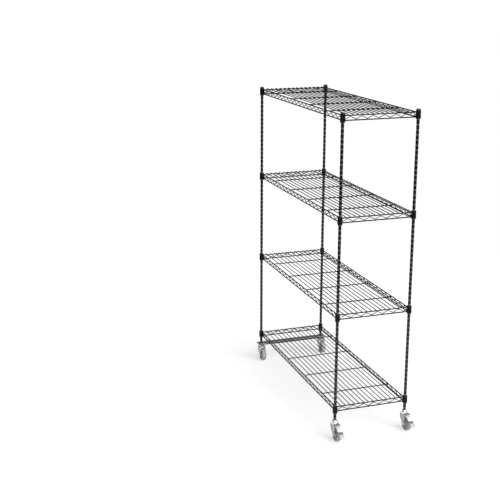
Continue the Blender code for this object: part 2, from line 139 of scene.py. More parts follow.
# Brake pedal, measured from its pin. Y is negative towards the toe.
PEDAL_SHEET = 0.0022
PEDAL_HOOK_RADIUS = 0.0040
PEDAL_KNEES = ((-0.034, -0.0045), (-0.0605, -0.0125), (-0.0685, -0.0245))
PEDAL_TREAD_END, PEDAL_LIP_END = (-0.0927, -0.0310), (-0.0927, -0.0382)
PEDAL_WIDTHS = ((-0.024, 0.0128), (-0.036, 0.0106), (-0.044, 0.0129))
PEDAL_ARM_END = -0.0395
PEDAL_PLATE_START, PEDAL_PLATE_END = -0.0375, -0.0690
PEDAL_TOE_START = -0.0665
PEDAL_TIP_ROUND_START = -0.0825
FLANGE_START, FLANGE_END, FLANGE_DEPTH = -0.004, -0.056, 0.0024
TREAD_RIB_START, TREAD_RIB_PITCH, TREAD_RIB_COUNT = -0.0725, 0.004, 5
TREAD_RIB_RADIUS, TREAD_RIB_LIFT, TREAD_RIB_MARGIN = 0.0006, 0.0014, 0.0028
STRIP_TOP, STRIP_FOOT, STRIP_RIBS = (-0.0602, -0.0122), (-0.0687, -0.0246), 5


# ---------------------------------------------------------------- geometry


def middle(node):
    low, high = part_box(node)
    return (low + high) / 2


def new_mesh(name, bm, material, smooth_angle=SHARP_ANGLE):
    """A mesh made from bm, smooth except at its real edges."""
    bmesh.ops.recalc_face_normals(bm, faces=bm.faces[:])
    mesh = bpy.data.meshes.new(name)
    bm.to_mesh(mesh)
    bm.free()
    mesh.shade_smooth()
    mesh.set_sharp_from_angle(angle=math.radians(smooth_angle))
    mesh.materials.append(material)
    return mesh


def place_mesh(name, mesh, place):
    obj = bpy.data.objects.new(name, mesh)
    bpy.context.scene.collection.objects.link(obj)
    obj.location = place
    return obj


def new_piece(name, bm, material, place=(0, 0, 0), smooth_angle=SHARP_ANGLE):
    return place_mesh(name, new_mesh(name, bm, material, smooth_angle), place)


def stand_for(obj, node):
    """obj is shown in place of the node and moves with its body."""
    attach(obj, BODY_OF[node])
    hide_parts(node)


def ride_along(obj, node):
    """obj is extra detail on a node, which it moves with."""
    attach(obj, BODY_OF[node])


def show_at(places, suffix, bm, material, smooth_angle=SHARP_ANGLE):
    """One mesh at the place of every node in places, standing for that node."""
    mesh = new_mesh(f"{next(iter(places))}_{suffix}", bm, material, smooth_angle)
    for node, place in places.items():
        stand_for(place_mesh(f"{node}_{suffix}", mesh, place), node)


def on_axis(axis_node, foot_node, rise=0.0):
    """The point on the upright middle line of one node, at a height above the foot of another."""
    place = middle(axis_node)
    place.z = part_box(foot_node)[0].z + rise
    return place


def bridge(bm, first, second):
    count = len(first)
    for step in range(count):
        after = (step + 1) % count
        bm.faces.new((first[step], first[after], second[after], second[step]))


def loft(bm, rings):
    """A closed solid through rings of points."""
    for first, second in zip(rings, rings[1:]):
        bridge(bm, first, second)
    bm.faces.new(rings[0][::-1])
    bm.faces.new(rings[-1])


def sheet(bm, rows):
    """An open sheet through rows of points."""
    for first, second in zip(rows, rows[1:]):
        for step in range(len(first) - 1):
            bm.faces.new((first[step], first[step + 1], second[step + 1], second[step]))


def circle(bm, centre, side, other, radius, sides):
    turns = [2 * math.pi * step / sides for step in range(sides)]
    return [bm.verts.new(centre + (side * math.cos(a) + other * math.sin(a)) * radius) for a in turns]


def sweep(bm, path, radius, sides=12):
    """A round wire along a path, with softly rounded ends."""
    points = [Vector(point) for point in path]
    steps = [(after - before).normalized() for before, after in zip(points, points[1:])]
    tangents = [steps[0]] + [(a + b).normalized() for a, b in zip(steps, steps[1:])] + [steps[-1]]
    side = tangents[0].orthogonal().normalized()
    rings = []

    def add_ring(centre, tangent, size):
        rings.append(circle(bm, centre, side, tangent.cross(side), size, sides))

    add_ring(points[0] - tangents[0] * radius * 0.3, tangents[0], radius * 0.7)
    for point, tangent in zip(points, tangents):
        side = (side - tangent * side.dot(tangent)).normalized()
        add_ring(point, tangent, radius)
    add_ring(points[-1] + tangents[-1] * radius * 0.3, tangents[-1], radius * 0.7)
    loft(bm, rings)


def rounded(corners, radius, steps=5):
    """The corner points with each inner corner replaced by an arc. Points may be 2-D or 3-D."""
    points = [Vector(corner) for corner in corners]
    out = [points[0]]
    for last, point, following in zip(points, points[1:], points[2:]):
        before, after = last - point, following - point
        half = before.angle(after) / 2
        if half > math.radians(89):
            out.append(point)
            continue
        reach = min(radius / math.tan(half), 0.49 * before.length, 0.49 * after.length)
        start, end = point + before.normalized() * reach, point + after.normalized() * reach
        centre = point + (before.normalized() + after.normalized()).normalized() * reach / math.cos(half)
        spread = (start - centre).angle(end - centre)
        for step in range(steps + 1):
            share = step / steps
            first = math.sin((1 - share) * spread) / math.sin(spread)
            second = math.sin(share * spread) / math.sin(spread)
            out.append(centre + (start - centre) * first + (end - centre) * second)
    return out + [points[-1]]


def lathe(bm, profile, sides=40, closed=True, start=0.0, turn=2 * math.pi):
    """Turns (radius, height) points about Z. Less than a full turn gives a closed wedge."""
    whole = abs(turn - 2 * math.pi) < 1e-6
    count = sides if whole else sides + 1
    rings = []
    for radius, height in profile:
        if radius < 1e-7:
            rings.append([bm.verts.new((0, 0, height))] * count)
            continue
        angles = [start + turn * step / sides for step in range(count)]
        rings.append([bm.verts.new((radius * math.cos(a), radius * math.sin(a), height)) for a in angles])
    pairs = list(zip(rings, rings[1:] + rings[:1])) if closed else list(zip(rings, rings[1:]))
    for lower, upper in pairs:
        for step in range(sides):
            after = (step + 1) % count
            spots = list(dict.fromkeys((lower[step], lower[after], upper[after], upper[step])))
            if len(spots) > 2:
                bm.faces.new(spots)
    if not whole:
        bm.faces.new([ring[0] for ring in rings])
        bm.faces.new([ring[-1] for ring in rings][::-1])
    return [vert for ring in rings for vert in dict.fromkeys(ring)]


def spaced(count, pitch, shift=0.0):
    """Places a pitch apart, with their middle at shift."""
    return [shift + pitch * (index - (count - 1) / 2) for index in range(count)]


def millimetres(points):
    return [tuple(value * MM for value in point) for point in points]


def turn_to_x(bm, verts=None):
    matrix = Matrix.Rotation(math.pi / 2, 4, "Y")
    bmesh.ops.transform(bm, matrix=matrix, verts=verts or bm.verts[:])


def shift(bm, vector, verts):
    bmesh.ops.translate(bm, vec=vector, verts=verts)


def add_modifiers(obj, solidify=0.0, bevel=0.0):
    if solidify:
        thick = obj.modifiers.new("Thickness", "SOLIDIFY")
        thick.thickness, thick.offset = solidify, 0
        thick.use_even_offset = True
    if bevel:
        edges = obj.modifiers.new("Edges", "BEVEL")
        edges.width, edges.segments, edges.limit_method = bevel, 2, "ANGLE"
        edges.angle_limit = math.radians(SHARP_ANGLE)


# ---------------------------------------------------------------- materials


class Surface:
    """A Principled material whose colour, roughness and bump come from noise in object space."""

    def __init__(self, name, colour, roughness, metallic=0.0, specular=0.5):
        self.material = bpy.data.materials.new(name)
        self.material.use_nodes = True
        self.tree = self.material.node_tree
        self.shader = self.tree.nodes["Principled BSDF"]
        self.coords = self.node("ShaderNodeTexCoord").outputs["Object"]
        self.set("Base Color", (*colour, 1))
        self.set("Roughness", roughness)
        self.set("Metallic", metallic)
        self.set("Specular IOR Level", specular)
        self.bump = None

    def node(self, kind, **settings):
        made = self.tree.nodes.new(kind)
        for key, value in settings.items():
            setattr(made, key, value)
        return made

    def set(self, socket, value):
        self.shader.inputs[socket].default_value = value

    def wire(self, source, target):
        self.tree.links.new(source, target)

    def noise(self, scale, detail, stretch=(1, 1, 1)):
        place = self.node("ShaderNodeMapping")
        place.inputs["Scale"].default_value = stretch
        self.wire(self.coords, place.inputs["Vector"])
        texture = self.node("ShaderNodeTexNoise")
        texture.inputs["Scale"].default_value = scale
        texture.inputs["Detail"].default_value = detail
        self.wire(place.outputs["Vector"], texture.inputs["Vector"])
        return texture.outputs["Fac"]

    def spread(self, source, low, high, start=0.3, end=0.7):
        """source between start and end, mapped to low and high."""
        ramp = self.node("ShaderNodeMapRange")
        for key, value in (("From Min", start), ("From Max", end), ("To Min", low), ("To Max", high)):
            ramp.inputs[key].default_value = value
        self.wire(source, ramp.inputs["Value"])
        return ramp.outputs["Result"]

    def blend_in(self, name, kind, other, factor):
        """Mixes another value into whatever feeds one of the shader's sockets."""
        mix = self.node("ShaderNodeMix", data_type=kind)
        socket = self.shader.inputs[name]
        if socket.is_linked:
            self.wire(socket.links[0].from_socket, mix.inputs["A"])
        else:
            mix.inputs["A"].default_value = socket.default_value
        mix.inputs["B"].default_value = other
        self.wire(factor, mix.inputs["Factor"])
        self.wire(mix.outputs["Result"], socket)

    def product(self, first, second):
        times = self.node("ShaderNodeMath", operation="MULTIPLY")
        self.wire(first, times.inputs[0])
        self.wire(second, times.inputs[1])
        return times.outputs["Value"]

    def mottle(self, other, scale, stretch=(1, 1, 1)):
        """Drifts the base colour towards another one."""
        factor = self.spread(self.noise(scale, 4, stretch), 0, 1, 0.35, 0.65)
        self.blend_in("Base Color", "RGBA", (*other, 1), factor)
        return self

    def painted_highlight_rings(self, other, pitch, offset, half_width):
        """Paints another colour in thin rings, one at every pitch along the piece's own Z: painted
        highlights standing in for the light the grooves catch.
        """
        parts = self.node("ShaderNodeSeparateXYZ")
        self.wire(self.coords, parts.inputs["Vector"])
        along = self.node("ShaderNodeMath", operation="SUBTRACT")
        self.wire(parts.outputs["Z"], along.inputs[0])
        along.inputs[1].default_value = offset
        away = self.node("ShaderNodeMath", operation="PINGPONG")
        self.wire(along.outputs["Value"], away.inputs[0])
        away.inputs[1].default_value = pitch / 2
        ring = self.spread(away.outputs["Value"], 1, 0, half_width * 0.5, half_width)
        broken = self.product(ring, self.spread(self.noise(320, 4), 0.55, 1))
        self.blend_in("Base Color", "RGBA", (*other, 1), broken)
        return self

    def worn(self, other, roughness, start, end):
        """Shows another colour and roughness where the mesh has outer edges, broken up by noise."""
        pointed = self.node("ShaderNodeNewGeometry").outputs["Pointiness"]
        edges = self.spread(pointed, 0, 1, start, end)
        broken = self.product(edges, self.spread(self.noise(260, 5), 0, 1, 0.42, 0.6))
        self.blend_in("Base Color", "RGBA", (*other, 1), broken)
        self.blend_in("Roughness", "FLOAT", roughness, broken)
        return self

    def uneven(self, low, high, scale, stretch=(1, 1, 1)):
        """Lets the roughness wander between two values."""
        self.wire(self.spread(self.noise(scale, 4, stretch), low, high), self.shader.inputs["Roughness"])
        return self

    def relief(self, scale, height, stretch=(1, 1, 1)):
        """Adds bump of a real height in metres, on top of any earlier one."""
        bump = self.node("ShaderNodeBump")
        bump.inputs["Distance"].default_value = height
        self.wire(self.noise(scale, 2, stretch), bump.inputs["Height"])
        if self.bump:
            self.wire(self.bump.outputs["Normal"], bump.inputs["Normal"])
        self.bump = bump
        self.wire(bump.outputs["Normal"], self.shader.inputs["Normal"])
        return self


def make_materials():
    post = Surface("post_epoxy", (0.004, 0.004, 0.0043), 0.28, specular=0.2)
    post.mottle((0.007, 0.007, 0.0075), 30).uneven(0.24, 0.38, 140).relief(700, 0.00004)
    post.worn((0.014, 0.014, 0.015), 0.45, 0.52, 0.60)
    # The light rings at the grooves are painted highlight, not a colour of the post.
    post.painted_highlight_rings((0.17, 0.168, 0.165), GROOVE_PITCH, SLEEVE_BEAD_ABOVE_POST_FOOT % GROOVE_PITCH, 0.0024)
    wire = Surface("wire_epoxy", (0.005, 0.005, 0.0053), 0.34, specular=0.10)
    wire.mottle((0.008, 0.008, 0.0085), 22).uneven(0.28, 0.44, 160).relief(800, 0.00005)
    fitting = Surface("fitting_plastic", (0.020, 0.020, 0.021), 0.5, specular=0.5)
    fitting.mottle((0.028, 0.028, 0.029), 80).uneven(0.42, 0.58, 220).relief(1600, 0.00003)
    channel = Surface("channel_coat", (0.055, 0.055, 0.057), 0.24, specular=1.0)
    channel.mottle((0.040, 0.040, 0.042), 45, (0.4, 1, 1)).uneven(0.20, 0.32, 90, (0.15, 1, 1))
    channel.relief(900, 0.00002, (0.04, 1, 1)).worn((0.16, 0.16, 0.165), 0.25, 0.53, 0.62)
    zinc = Surface("dull_zinc", (0.46, 0.465, 0.475), 0.40, metallic=0.85)
    zinc.mottle((0.30, 0.305, 0.315), 130).uneven(0.30, 0.50, 260).relief(1400, 0.00002)
    zinc.worn((0.80, 0.80, 0.80), 0.22, 0.54, 0.64)
    race = Surface("race_zinc", (0.80, 0.805, 0.81), 0.30, metallic=0.85)
    race.mottle((0.70, 0.705, 0.715), 160).uneven(0.24, 0.38, 300).relief(1600, 0.00001)
    race.worn((0.86, 0.86, 0.86), 0.2, 0.54, 0.64)
    tyre = Surface("tyre_rubber", (0.29, 0.29, 0.295), 0.62)
    tyre.mottle((0.245, 0.245, 0.25), 60).uneven(0.55, 0.72, 180).relief(1500, 0.00005)
    core = Surface("wheel_core_plastic", (0.46, 0.46, 0.465), 0.42)
    core.mottle((0.41, 0.41, 0.415), 70).uneven(0.36, 0.50, 200).relief(1300, 0.00002)
    pedal = Surface("pedal_coat", (0.68, 0.68, 0.675), 0.36)
    pedal.mottle((0.62, 0.62, 0.615), 60).uneven(0.30, 0.44, 180).relief(900, 0.00003)
    pedal.worn((0.45, 0.46, 0.48), 0.30, 0.56, 0.66)
    lever = Surface("lever_coat", (0.44, 0.44, 0.442), 0.45)
    lever.mottle((0.39, 0.39, 0.392), 80).uneven(0.38, 0.54, 200).relief(1200, 0.00003)
    lever.worn((0.34, 0.345, 0.355), 0.34, 0.56, 0.66)
    # The riser strip's dark colour is painted shade for the shaded riser of the pedal.
    grip = Surface("riser_painted_shade", (0.13, 0.13, 0.132), 0.66)
    grip.mottle((0.10, 0.10, 0.102), 90).uneven(0.58, 0.74, 240).relief(1500, 0.00004)
    made = dict(post=post, wire=wire, fitting=fitting, channel=channel, zinc=zinc, tyre=tyre)
    made.update(race=race, wheel_core=core, pedal=pedal, lever=lever, grip=grip)
    return {slot: surface.material for slot, surface in made.items()}


MATERIALS = make_materials()


# ---------------------------------------------------------------- posts


def post_profile(length):
    """The tube's section, with a rolled groove at every step of the shelf height."""
    profile = [(POST_RADIUS - 0.0004, 0), (POST_RADIUS, 0.0004)]
    height = SLEEVE_BEAD_ABOVE_POST_FOOT % GROOVE_PITCH
    while height < length - GROOVE_PITCH / 2:
        profile += [(POST_RADIUS - depth * MM, height + offset * MM) for offset, depth in GROOVE_SHAPE]
        height += GROOVE_PITCH
    profile += [(POST_RADIUS, length - 0.0004), (POST_RADIUS - 0.0004, length)]
    inner = POST_RADIUS - POST_WALL
    return profile + [(inner, length), (inner, 0)]


def make_posts():
    low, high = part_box("post_front_left")
    bm = bmesh.new()
    lathe(bm, post_profile(high.z - low.z), 28)
    places = {f"post_{corner}": on_axis(f"post_{corner}", f"post_{corner}") for corner in CORNERS}
    show_at(places, "grooved", bm, MATERIALS["post"], 60)


def make_caps():
    """Low domes with a rim, pressed into the posts on a plug."""
    top = 6.2
    dome = [(0, top), (3.5, top - 0.12), (6.8, top - 0.6), (9.3, top - 1.5), (11.2, top - 2.7)]
    rim = [(12.1, 2.7), (12.45, 1.9), (12.5, 0.8), (12.3, 0.15), (12.0, 0.0)]
    under = [(6.6, 0.0), (6.1, -0.5), (6.1, -10.8), (5.2, -CAP_PLUG), (0, -CAP_PLUG)]
    bm = bmesh.new()
    lathe(bm, millimetres(dome + rim + under), 48, closed=False)
    nodes = [f"post_cap_{corner}" for corner in CORNERS]
    places = {node: on_axis(node, node, CAP_PLUG * MM) for node in nodes}
    show_at(places, "dome", bm, MATERIALS["fitting"], 50)


# ---------------------------------------------------------------- shelves


def zigzag_path(length, low_spot, pitch):
    """The snaking wire of a shelf edge, along X in the XZ plane, cut off where it meets the collars."""
    sink = FRAME_WIRE / 2 + ZIGZAG_WIRE / 2 - WELD_SINK
    low, high = FRAME_WIRE_BOTTOM + sink, FRAME_WIRE_TOP - sink
    half, step = length / 2, pitch / 2
    first = math.ceil((-half - low_spot) / step)
    last = math.floor((half - low_spot) / step)
    corners = [(low_spot + index * step, 0, high if index % 2 else low) for index in range(first, last + 1)]

    def cut_end(inner, end):
        """Where the strut from inner towards the next bend out reaches the end of the side."""
        share = abs(end - inner[0]) / step
        other = low if inner[2] == high else high
        return (end, 0, inner[2] + (other - inner[2]) * share)

    corners = [cut_end(corners[0], -half), *corners, cut_end(corners[-1], half)]
    return rounded(corners, ZIGZAG_BEND, 5)


def edge_panel(bm, length, low_spot, pitch, matrix):
    made = set(bm.verts)
    half = length / 2
    for height in (FRAME_WIRE_TOP, FRAME_WIRE_BOTTOM):
        sweep(bm, [(-half, 0, height), (half, 0, height)], FRAME_WIRE / 2, 16)
    sweep(bm, zigzag_path(length, low_spot, pitch), ZIGZAG_WIRE / 2, 10)
    bmesh.ops.transform(bm, matrix=matrix, verts=[v for v in bm.verts if v not in made])


def weld_bead(bm, place):
    """The small swell of metal where two crossed wires are fused."""
    made = bmesh.ops.create_icosphere(bm, subdivisions=1, radius=1)["verts"]
    matrix = Matrix.Translation(place) @ Matrix.Diagonal((WELD_WIDTH, WELD_LENGTH, WELD_HEIGHT, 1))
    bmesh.ops.transform(bm, matrix=matrix, verts=made)


def collar(bm, place):
    """The pressed ring at a shelf corner, wider at the foot, with a rolled bead at each end."""
    outside = [(12.7, -19.0), (13.2, -18.7), (13.4, -18.0), (13.35, -17.2), (13.1, -16.6), (13.0, -15.8)]
    outside += [(12.6, 15.6), (12.7, 16.4), (12.8, 17.4), (12.65, 18.4), (12.2, 19.0)]
    inside = [(10.6, 19.0), (10.16, 18.6), (11.32, -18.6), (11.7, -19.0)]
    shift(bm, place, lathe(bm, millimetres(outside + inside), 40))


def shelf_mesh_parts(spacing_x, spacing_y):
    bm = bmesh.new()
    short_side = spacing_x - 2 * WIRE_END_INSET
    long_side = spacing_y - 2 * WIRE_END_INSET
    along_y = Matrix.Rotation(math.pi / 2, 4, "Z")
    edge_x, edge_y = spacing_x / 2 - EDGE_INSET, spacing_y / 2 - EDGE_INSET
    for side in (-1, 1):
        place = Matrix.Translation((0, side * edge_y, 0))
        edge_panel(bm, short_side, ZIGZAG_LOW_SHORT, ZIGZAG_PITCH_SHORT, place)
        place = Matrix.Translation((side * edge_x, 0, 0))
        edge_panel(bm, long_side, ZIGZAG_LOW_LONG, ZIGZAG_PITCH_LONG, place @ along_y)
        for other in (-1, 1):
            collar(bm, (side * spacing_x / 2, other * spacing_y / 2, 0))
    supports = spaced(SUPPORT_COUNT, SUPPORT_PITCH, SUPPORT_SHIFT)
    height = DECK_PLANE - SUPPORT_WIRE / 2
    for y in supports:
        sweep(bm, [(-edge_x, y, height), (edge_x, y, height)], SUPPORT_WIRE / 2)
    end = edge_y + DECK_OVERHANG
    height = DECK_PLANE + DECK_WIRE / 2
    for x in spaced(DECK_WIRE_COUNT, DECK_PITCH):
        sweep(bm, [(x, -end, height), (x, end, height)], DECK_WIRE / 2, 10)
        for y in (-edge_y, *supports, edge_y):
            weld_bead(bm, (x, y, DECK_PLANE + WELD_LIFT))
    return bm


def make_shelves():
    first, last = middle("post_front_left"), middle("post_rear_right")
    bm = shelf_mesh_parts(last.x - first.x, last.y - first.y)
    places = {}
    for level in SHELF_LEVELS:
        place = first.lerp(last, 0.5)
        place.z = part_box(f"shelf_{level}")[0].z + COLLAR_HALF_HEIGHT
        places[f"shelf_{level}"] = place
    show_at(places, "wires", bm, MATERIALS["wire"])


def make_sleeves():
    """Tapered plastic sleeves in two halves, which clip round a groove inside each collar."""
    profile = [(8.35, -24.5), (10.4, -24.5), (11.1, -23.8), (11.2, -22.6), (11.1, -19.6), (9.85, 19.4)]
    profile += [(9.7, 20.1), (9.3, 20.5), (8.5, 20.5), (8.25, 20.1), (8.25, -24.1)]
    bm = bmesh.new()
    slot_angle = math.radians(9)
    for half in (0, 1):
        lathe(bm, millimetres(profile), 22, start=half * math.pi + slot_angle / 2, turn=math.pi - slot_angle)
    places = {}
    for level in SHELF_LEVELS:
        for corner in CORNERS:
            node = f"sleeve_{level}_{corner}"
            places[node] = on_axis(f"post_{corner}", node, -SLEEVE_FOOT)
    show_at(places, "halves", bm, MATERIALS["fitting"])


# ---------------------------------------------------------------- channel


def make_channel():
    """Folded sheet, open downwards, with rounded folds and rounded corners on its two flanges."""
    node = "rear_channel"
    low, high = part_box(node)
    length, centre_y = high.x - low.x, middle(node).y
    half, top = (high.y - low.y) / 2 - CHANNEL_SHEET / 2, high.z - CHANNEL_SHEET / 2
    section = rounded([(-half, low.z), (-half, top), (half, top), (half, low.z)], CHANNEL_FOLD, 6)
    stations = [0, 0.0006, 0.0018, CHANNEL_END_ROUND]
    stations += [length - station for station in reversed(stations)]
    bm = bmesh.new()
    rows = []
    for station in stations:
        cut = CHANNEL_END_ROUND - min(station, length - station, CHANNEL_END_ROUND)
        lift = CHANNEL_END_ROUND - math.sqrt(max(CHANNEL_END_ROUND**2 - cut**2, 0))
        row = []
        for y, z in section:
            is_lip = z < low.z + 1e-6
            row.append(bm.verts.new((low.x + station, centre_y + y, z + (lift if is_lip else 0))))
        rows.append(row)
    sheet(bm, rows)
    obj = new_piece(f"{node}_folded", bm, MATERIALS["channel"], smooth_angle=60)
    add_modifiers(obj, solidify=CHANNEL_SHEET, bevel=0.0004)
    stand_for(obj, node)


# ---------------------------------------------------------------- casters


def hexagon(bm, across, start, end, chamfer, bore=0.0):
    """A nut or bolt head along X, with its corners turned off at both ends."""
    radius = across / 2 / math.cos(math.pi / 6)
    outline = [(start, radius - chamfer), (start + chamfer * 0.5, radius)]
    outline += [(end - chamfer * 0.5, radius), (end, radius - chamfer)]
    sides = 36
    rings = []
    for x, limit in outline:
        ring = []
        for step in range(sides):
            angle = 2 * math.pi * step / sides
            off_flat = (angle + math.pi / 6) % (math.pi / 3) - math.pi / 6
            reach = min(across / 2 / math.cos(off_flat), limit)
            ring.append(bm.verts.new((x, reach * math.cos(angle), reach * math.sin(angle))))
        rings.append(ring)
    if not bore:
        loft(bm, rings)
        return
    inner = []
    for x in (start, end):
        angles = [2 * math.pi * step / sides for step in range(sides)]
        inner.append([bm.verts.new((x, bore * math.cos(a), bore * math.sin(a))) for a in angles])
    for first, second in zip([*rings, inner[1], inner[0]], [*rings[1:], inner[1], inner[0], rings[0]]):
        bridge(bm, first, second)


def fork_surface(bm):
    """The pressed fork as one bent sheet: a leg, the crown and the other leg."""
    half = FORK_HALF_WIDTH - FORK_PLATE / 2
    top = FORK_TOP - FORK_PLATE / 2
    axle_y, axle_z, lobe = -AXLE_TRAIL, WHEEL_RADIUS, AXLE_LOBE
    back = rounded([(0.0155, top), (0.0155, 0.062), (axle_y + 0.0080, FORK_HEEL)], 0.018, 10)
    front = rounded([(-0.0245, top), (-0.0385, 0.062), (axle_y - lobe, axle_z)], 0.020, 10)

    def edge(line, z):
        for (y0, z0), (y1, z1) in zip(line, line[1:]):
            if z1 <= z <= z0:
                return y0 + (y1 - y0) * (z0 - z) / max(z0 - z1, 1e-9)
        return line[-1][0]

    heights = [top - (top - axle_z) * step / 16 for step in range(17)]
    heights += [axle_z - lobe * math.sin(math.radians(angle)) for angle in (12, 25, 38, 50, 62, 73, 82, 90)]
    spans = []
    for z in heights:
        if z >= axle_z:
            spans.append((edge(front, z), edge(back, z)))
        else:
            reach = math.sqrt(max(lobe**2 - (axle_z - z) ** 2, 1e-10))
            right = edge(back, z) if z > FORK_HEEL else axle_y + reach
            spans.append((axle_y - reach, max(min(right, 0.0), axle_y + reach)))
    section = [(-half, z, span) for z, span in list(zip(heights, spans))[::-1] if z < top - FORK_FOLD]
    for step in range(9):
        angle = math.radians(90 * step / 8)
        x = -half + FORK_FOLD * (1 - math.cos(angle))
        section.append((x, top - FORK_FOLD * (1 - math.sin(angle)), spans[0]))
    crown = [(x, top, spans[0]) for x in (-0.007, 0.0, 0.007)]
    section = section + crown + [(-x, z, span) for x, z, span in section[::-1]]
    columns = 9
    rows = []
    for x, z, (y0, y1) in section:
        rows.append([bm.verts.new((x, y0 + (y1 - y0) * step / (columns - 1), z)) for step in range(columns)])
    sheet(bm, rows)


def race_ring(bm, radius, bottom, top, lip):
    """A pressed ball race with a rolled rim."""
    ring = [(6.2 * MM, bottom), (radius - lip, bottom), (radius - lip * 0.3, bottom + lip * 0.3)]
    ring += [(radius, bottom + lip), (radius, top - lip), (radius - lip * 0.3, top - lip * 0.3)]
    ring += [(radius - lip, top), (6.2 * MM, top)]
    lathe(bm, ring, 48)


def make_fork(corner):
    """The pressed fork, with the lower race as a bowl on its crown and a boss at each end of the axle."""
    node = f"{corner}_fork"
    bm = bmesh.new()
    fork_surface(bm)
    axis = middle(f"{corner}_caster_stem").xy.to_3d()
    obj = new_piece(f"{node}_pressing", bm, MATERIALS["zinc"], axis, 50)
    add_modifiers(obj, solidify=FORK_PLATE, bevel=0.0005)
    stand_for(obj, node)
    bm = bmesh.new()
    bowl = [(6.2, 93.0), (15.9, 92.4), (16.3, 92.6), (16.3, 93.3), (15.6, 94.9), (14.6, 96.2), (13.6, 97.1)]
    lathe(bm, millimetres(bowl + [(12.9, 97.5), (12.2, 97.6), (6.2, 97.6)]), 48)
    for side in (-1, 1):
        start, end = side * FORK_HALF_WIDTH, side * (FORK_HALF_WIDTH - 0.0035)
        boss = lathe(bm, [(0.0045, -start), (0.0070, -start), (0.0082, -end), (0.0045, -end)], 32)
        turn_to_x(bm, boss)
        shift(bm, (0, -AXLE_TRAIL, WHEEL_RADIUS), boss)
    ride_along(new_piece(f"{node}_race", bm, MATERIALS["race"], axis), node)


def make_balls(corner):
    """The ring of balls seen in the gap between the two races."""
    bm = bmesh.new()
    for index in range(BALL_COUNT):
        angle = 2 * math.pi * index / BALL_COUNT
        place = Matrix.Translation((BALL_RING * math.cos(angle), BALL_RING * math.sin(angle), BALL_HEIGHT))
        bmesh.ops.create_icosphere(bm, subdivisions=2, radius=BALL_RADIUS, matrix=place)
    axis = middle(f"{corner}_caster_stem").xy.to_3d()
    ride_along(new_piece(f"{corner}_balls", bm, MATERIALS["race"], axis), f"{corner}_fork")


def make_stem(corner):
    """The kingpin and stem with the upper race, and a shoulder under the post on the front casters."""
    node = f"{corner}_caster_stem"
    low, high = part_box(node)
    shoulder = corner in FRONT_CORNERS
    bm = bmesh.new()
    race_top = FRONT_RACE_TOP if shoulder else REAR_RACE_TOP
    race_ring(bm, UPPER_RACE_RADIUS, UPPER_RACE_FOOT, race_top, RACE_LIP)
    pin = [(0, low.z), (0.0050, low.z), (0.0070, low.z + 0.0008), (0.0075, low.z + 0.0018)]
    pin += [(0.0075, low.z + 0.0032), (0.0049, low.z + 0.0032), (0.0049, 0.0985), (0.0065, UPPER_RACE_FOOT)]
    if shoulder:
        pin += [(0.0065, 0.1028), (0.0138, 0.1028), (0.0134, 0.1034), (0.0118, 0.1046), (0.0102, 0.1054)]
        pin += [(0.0095, 0.1059), (0.0095, STEM_SEAT - 0.0004), (0.0091, STEM_SEAT)]
    else:
        pin += [(0.0065, REAR_RACE_TOP)]
    pin += [(0.0061, STEM_SEAT), (0.0061, high.z - 0.0015), (0.0050, high.z), (0, high.z)]
    lathe(bm, pin, 40, closed=False)
    obj = new_piece(f"{node}_turned", bm, MATERIALS["race"], middle(node).xy.to_3d())
    stand_for(obj, node)


def make_wheel(corner):
    """Tyre with soft shoulders and a moulding line, on a core with ribs between boss and rim."""
    centre = middle(f"{corner}_tyre")
    half = 12.5
    side = [(29.5, half - 0.6), (30.2, half), (33.4, half), (34.6, half - 0.35), (35.9, half - 1.3)]
    side += [(36.9, half - 2.8), (37.6, half - 5.0), (37.9, half - 8.0), (38.0, 0.35), (37.75, 0.15)]
    profile = side + [(radius, -height) for radius, height in reversed(side)]
    bm = bmesh.new()
    lathe(bm, millimetres(profile), 72)
    turn_to_x(bm)
    tyre = new_piece(f"{corner}_tyre_moulded", bm, MATERIALS["tyre"], centre, 50)
    stand_for(tyre, f"{corner}_tyre")
    bm = bmesh.new()
    side = [(4.6, 14.2), (5.0, 14.5), (9.2, 14.5), (9.9, 14.1), (10.4, 5.4), (11.2, 4.6), (24.6, 4.6)]
    side += [(25.6, 5.2), (26.1, 10.6), (26.6, 11.0), (28.8, 11.0), (29.2, 10.6)]
    profile = side + [(radius, -height) for radius, height in reversed(side)]
    lathe(bm, millimetres(profile), 72)
    size = Matrix.Diagonal((RIB_LENGTH, RIB_THICKNESS, RIB_DEPTH, 1))
    for index in range(RIB_COUNT):
        turned = Matrix.Rotation(2 * math.pi / RIB_COUNT * index, 4, "Z")
        for face in (-1, 1):
            place = Matrix.Translation((RIB_MIDDLE, 0, face * RIB_OFFSET))
            bmesh.ops.create_cube(bm, size=1, matrix=turned @ place @ size)
    turn_to_x(bm)
    hub = new_piece(f"{corner}_wheel_core", bm, MATERIALS["wheel_core"], centre)
    add_modifiers(hub, bevel=0.0003)
    stand_for(hub, f"{corner}_wheel_hub")


